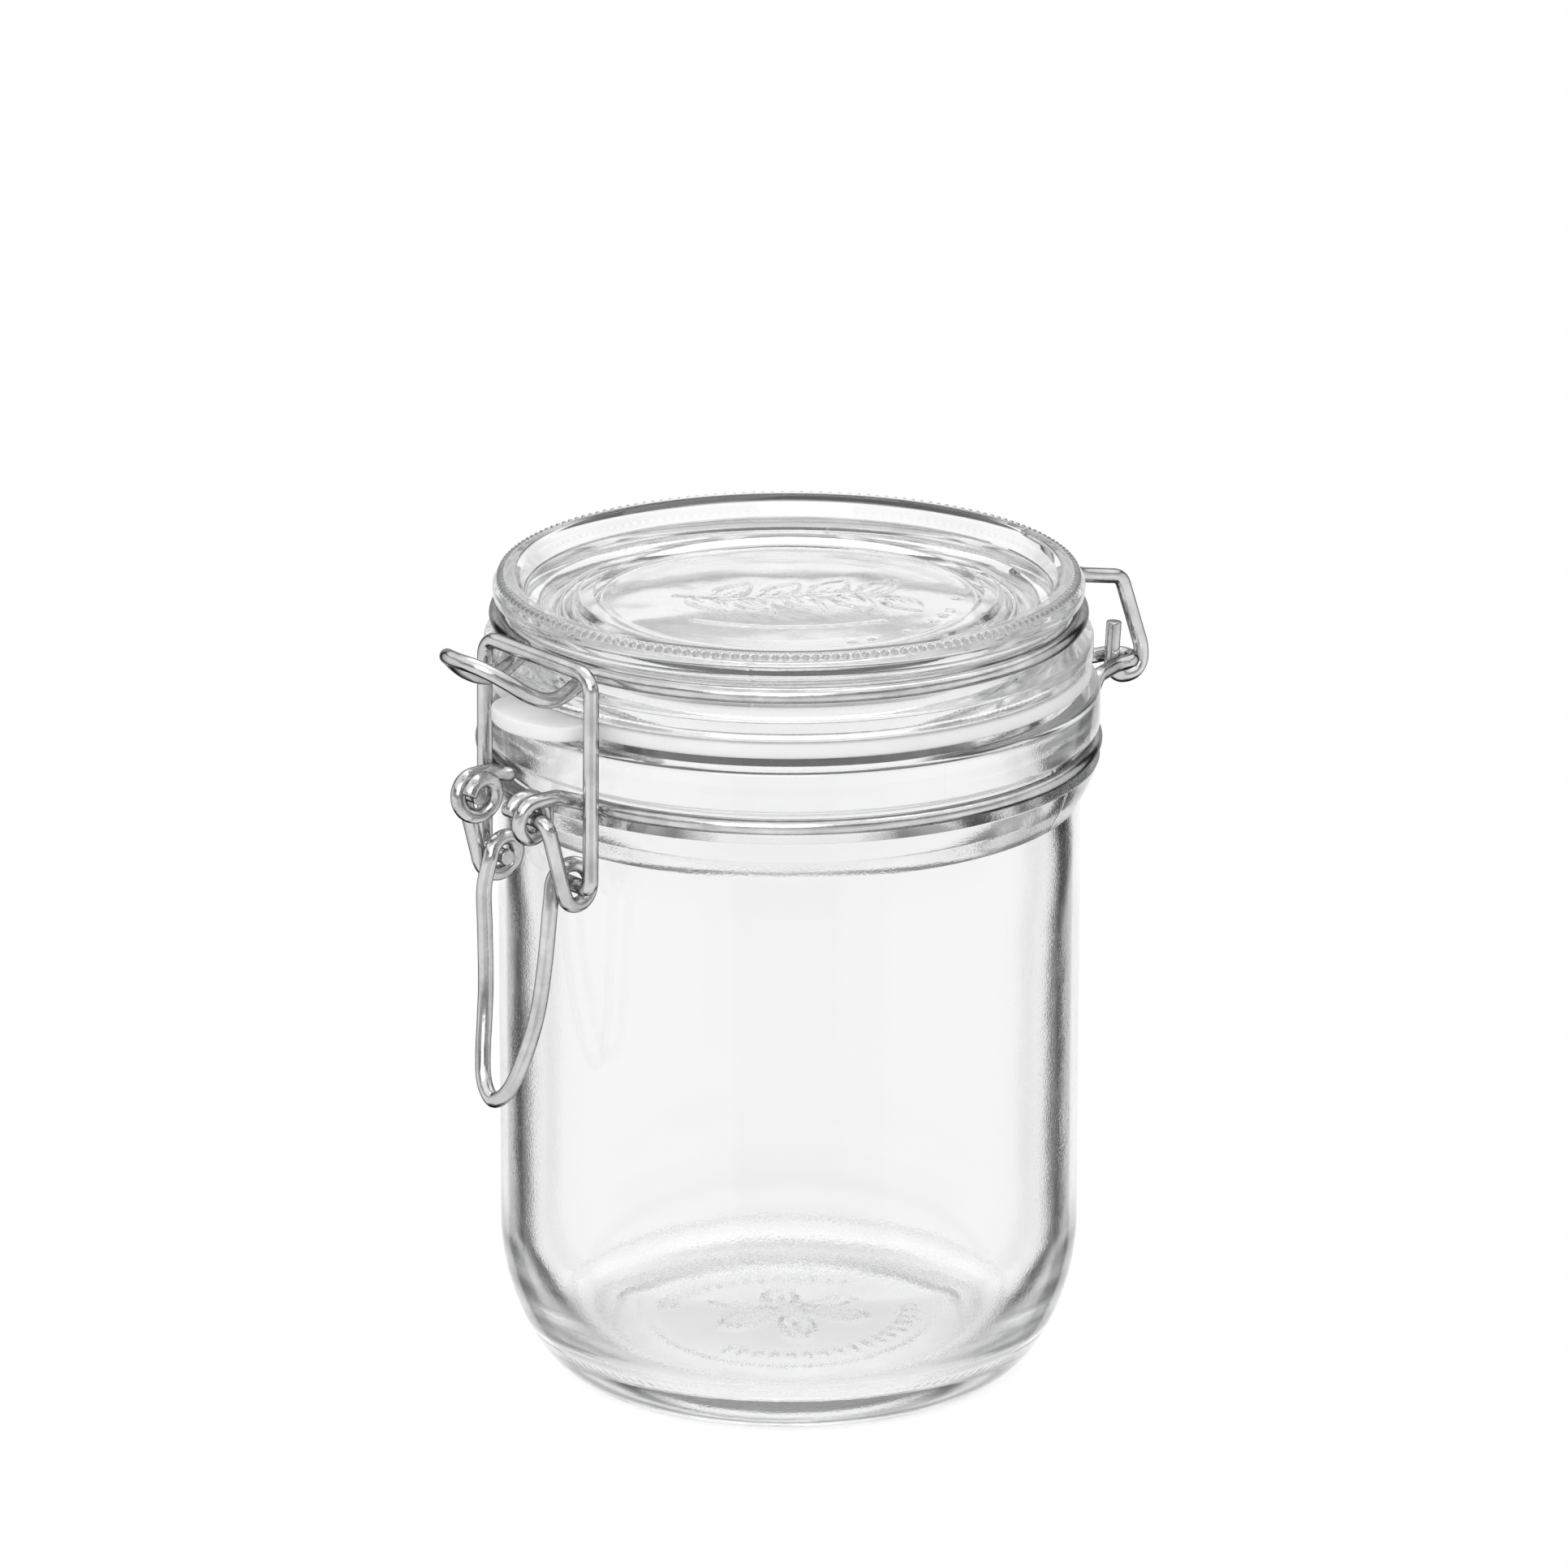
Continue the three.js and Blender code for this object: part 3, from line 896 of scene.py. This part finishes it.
def gap_shares(nodes, azimuth, reflected):
    """How dark each gap between the panels is at an azimuth, as a share from 0 to 1."""
    shares = []
    for bearing, half_width, soft, light, after_reflection in GAPS:
        middle = VIEW_AZIMUTH + math.pi - math.radians(bearing)
        nearness = nodes.maths("COSINE", nodes.maths("SUBTRACT", azimuth, middle))
        start, end = (math.cos(math.radians(half_width + side * soft)) for side in (1, -1))
        dark = nodes.soft_step(nearness, start, end, 0.0, 1.0 - light)
        if after_reflection:
            dark = nodes.maths("MULTIPLY", dark, reflected)
        shares.append(dark)
    return shares


def studio_light(nodes, reflected):
    """The brightness of the studio in every direction. reflected is 1 for a ray that has been
    reflected on its way, and 0 for one that has not."""
    direction = nodes.add("ShaderNodeSeparateXYZ")
    coordinates = nodes.add("ShaderNodeTexCoord")
    nodes.link(coordinates.outputs["Generated"], direction.inputs["Vector"])
    x, y, z = (direction.outputs[axis] for axis in "XYZ")
    azimuth = nodes.maths("ARCTAN2", x, nodes.maths("MULTIPLY", y, -1.0))
    behind = nodes.maths("COSINE", nodes.maths("SUBTRACT", azimuth, VIEW_AZIMUTH + math.pi))
    front = nodes.soft_step(behind, *FRONT_HALF)
    back_panel = nodes.soft_step(behind, *BACK_PANEL)
    wall = nodes.maths("MAXIMUM", back_panel, nodes.soft_step(behind, *SIDE_PANELS))
    for dark in gap_shares(nodes, azimuth, reflected):
        wall = nodes.dimmed(wall, dark)
    dim = nodes.maths("MULTIPLY", front, nodes.soft_step(z, *DIM_FRONT_WALL))
    table = nodes.maths("MULTIPLY", front, nodes.soft_step(z, *LIT_TABLE))
    wall = nodes.maths("MAXIMUM", nodes.dimmed(wall, dim), table)
    back_edge = nodes.dimmed(nodes.soft_step(z, *DARK_BACK_EDGE), front)
    wall = nodes.dimmed(wall, back_edge)
    wall = nodes.maths("MULTIPLY", wall, nodes.soft_step(z, *PANEL_TOPS))
    above = nodes.soft_step(z, *CEILING)
    ceiling = nodes.maths("MULTIPLY", above, CEILING_LIGHT)
    return nodes.maths("ADD", ceiling, nodes.dimmed(wall, above))


def make_studio():
    """A ring of white panels with darker gaps between them, under a white ceiling. The camera
    itself sees a plain white backdrop, and only the glass and the wires see the panels."""
    world = bpy.data.worlds.new("studio")
    bpy.context.scene.world = world
    world.use_nodes = True
    nodes = Nodes(world.node_tree)
    nodes.tree.nodes.clear()
    path = nodes.add("ShaderNodeLightPath")
    reflected = nodes.maths("MINIMUM", path.outputs["Glossy Depth"], 1.0)
    panels = nodes.add("ShaderNodeBackground", Color=WHITE)
    nodes.link(studio_light(nodes, reflected), panels.inputs["Strength"])
    backdrop = nodes.add("ShaderNodeBackground", Color=WHITE)
    mix, output = nodes.add("ShaderNodeMixShader"), nodes.add("ShaderNodeOutputWorld")
    nodes.link(path.outputs["Is Camera Ray"], mix.inputs["Fac"])
    nodes.link(panels.outputs[0], mix.inputs[1])
    nodes.link(backdrop.outputs[0], mix.inputs[2])
    nodes.link(mix.outputs[0], output.inputs["Surface"])


def make_light(name, place, width, height, power):
    """A soft rectangular light aimed at the jar, unseen by the camera."""
    data = bpy.data.lights.new(name, "AREA")
    data.shape, data.size, data.size_y, data.energy = "RECTANGLE", width, height, power
    light = bpy.data.objects.new(name, data)
    light.location = place
    light.rotation_mode = "QUATERNION"
    light.rotation_quaternion = (LOOK_AT - light.location).to_track_quat("-Z", "Y")
    light.visible_camera = False
    bpy.context.scene.collection.objects.link(light)
    return light


# ---------------------------------------------------------------- assembly

LIGHT_BOUNCES = 64  # the light crosses many layers of glass
GLOSSY_BOUNCES = 32


def dress(piece, body, slot, material, *nodes):
    """Gives a piece its material and body, and lets it stand for its CAD nodes."""
    piece.data.materials.append(material)
    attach(piece, body)
    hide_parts(*nodes)


steel = steel_material()
jar_glass = glass_material("jar_glass", wave=0.00008, pits=0.000009)
lid_glass = glass_material("lid_glass", wave=0.00015, pits=0.000004)
dress(make_jar(), "jar", "jar_glass", jar_glass, "jar_body")
dress(make_lid(), "lid", "lid_glass", lid_glass, "lid")
dress(make_gasket(), "lid", "gasket_rubber", rubber_material(), "gasket")
dress(make_wire("neck_wire", "neck_band"), "jar", "wire", steel, "neck_band")
dress(make_wire("lid_wire", "lid_band"), "lid", "wire", steel, "lid_band")
dress(make_wire("lever_wire", "lever"), "lever", "wire", steel, "lever")
dress(make_wire("bail_wire", "bail"), "bail", "wire", steel, "bail")

make_floor()
make_studio()
make_light("overhead", (-0.1, 0.25, 1.1), width=0.9, height=0.6, power=3.0)
fill = make_light("fill", (0.7, -0.75, 0.7), width=0.8, height=0.8, power=4.5)
fill.visible_transmission = False
make_camera()
scene = bpy.context.scene
scene.view_settings.view_transform = "Standard"
scene.cycles.max_bounces = LIGHT_BOUNCES
scene.cycles.transmission_bounces = LIGHT_BOUNCES
scene.cycles.glossy_bounces = GLOSSY_BOUNCES
